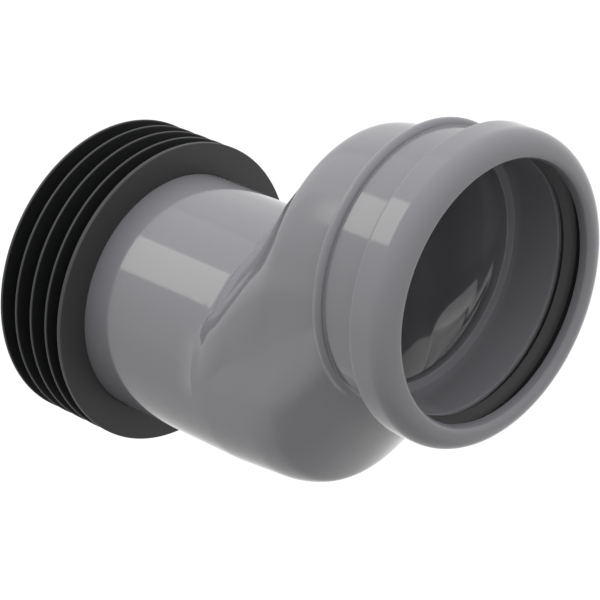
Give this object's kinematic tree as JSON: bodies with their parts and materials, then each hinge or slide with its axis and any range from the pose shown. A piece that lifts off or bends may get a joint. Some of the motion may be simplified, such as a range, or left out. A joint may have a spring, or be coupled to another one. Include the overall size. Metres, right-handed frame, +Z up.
{
  "type": "toilet pan connector",
  "caption": "Offset toilet pan connector: moulded pipe bend with a finned rubber seal on its spigot and a lip seal in its socket.",
  "frame": {"origin": "on the spigot's axis, inside the finned seal's front flange", "axes": "+X along the spigot from the fins to the socket's mouth, +Z up from the spigot's axis to the socket's axis"},
  "size_m": [0.1935, 0.1132, 0.1612],
  "materials": {
    "body_plastic": "satin grey moulded plastic",
    "seal_rubber": "matt black rubber"
  },
  "bodies": {
    "root": {"connector_body": "body_plastic", "spigot_seal": "seal_rubber", "socket_seal": "seal_rubber"}
  },
  "joints": []
}
